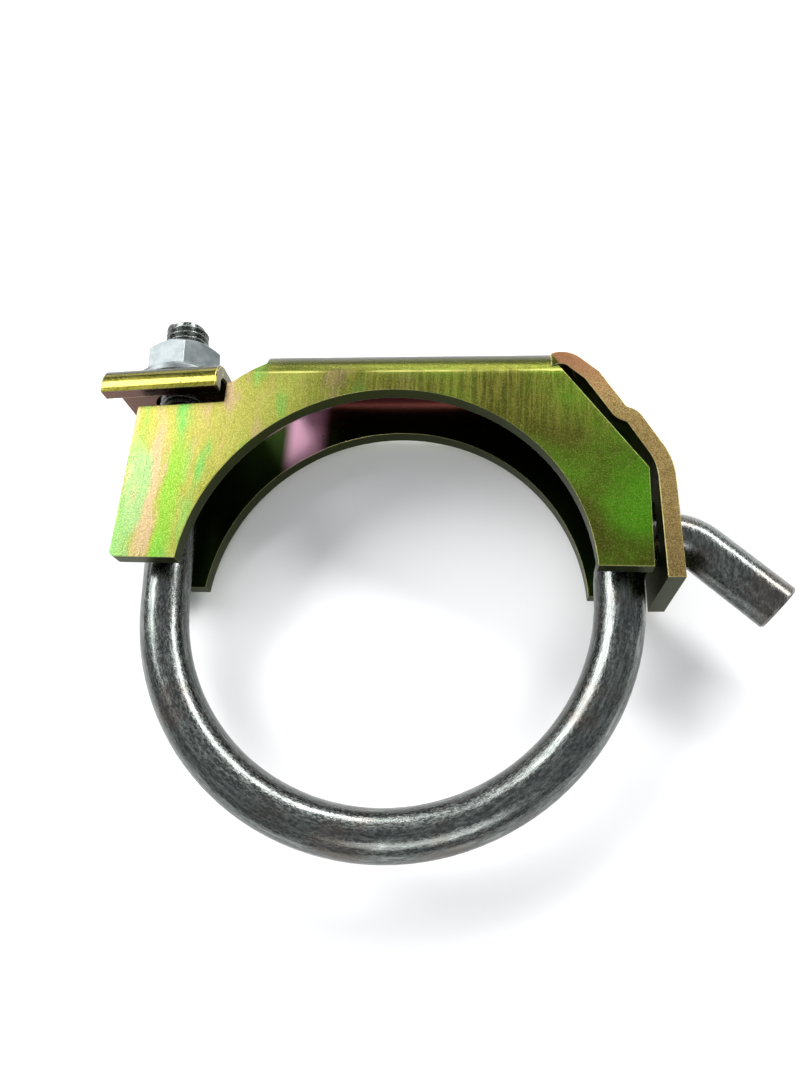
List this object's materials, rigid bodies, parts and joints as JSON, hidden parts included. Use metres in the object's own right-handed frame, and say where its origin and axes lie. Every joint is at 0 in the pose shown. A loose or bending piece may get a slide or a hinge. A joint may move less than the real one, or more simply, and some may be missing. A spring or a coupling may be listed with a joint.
{
  "type": "u-bolt pipe clamp",
  "caption": "Pipe clamp: a pressed channel saddle whose strap takes the hooked end of a U-bolt, with a bridge clip and a flange nut on the threaded leg.",
  "frame": {"origin": "centre of the clamped pipe, in the middle of the clamp's width", "axes": "+Z along the pipe, +Y from the bottom of the U towards the saddle's web and the nut, +X towards the hook"},
  "size_m": [0.1722, 0.141, 0.0346],
  "materials": {
    "yellow_zinc": "yellow passivated zinc, iridescent green, gold and pink",
    "rod_zinc": "dull grey zinc with bright highlights",
    "clip_zinc": "yellow passivated zinc, more golden than the saddle",
    "nut_zinc": "bright blue-white zinc"
  },
  "bodies": {
    "saddle": {"saddle": "yellow_zinc"},
    "u_bolt": {"u_bolt": "rod_zinc"},
    "bridge_clip": {"bridge_clip": "clip_zinc"},
    "flange_nut": {"flange_nut": "nut_zinc"}
  },
  "joints": [
    {"name": "u_bolt_swing", "type": "hinge", "parent": "saddle", "child": "u_bolt", "pos_m": [0.0681, 0.0041, 0], "axis": [0, 0, -1], "range_deg": [0, 15]},
    {"name": "clip_slide", "type": "slide", "parent": "u_bolt", "child": "bridge_clip", "axis": [0.0844, -0.9964, 0], "range_m": [-0.0087, 0.0061]},
    {"name": "nut_spin", "type": "hinge", "parent": "bridge_clip", "child": "flange_nut", "pos_m": [-0.06116, 0.05737, 0], "axis": [0.0844, -0.9964, 0], "range_deg": [-1790, 1260]}
  ],
  "couplings": [
    {"joint": "nut_spin", "follows": "clip_slide", "rad_per_m": 3590.4}
  ]
}
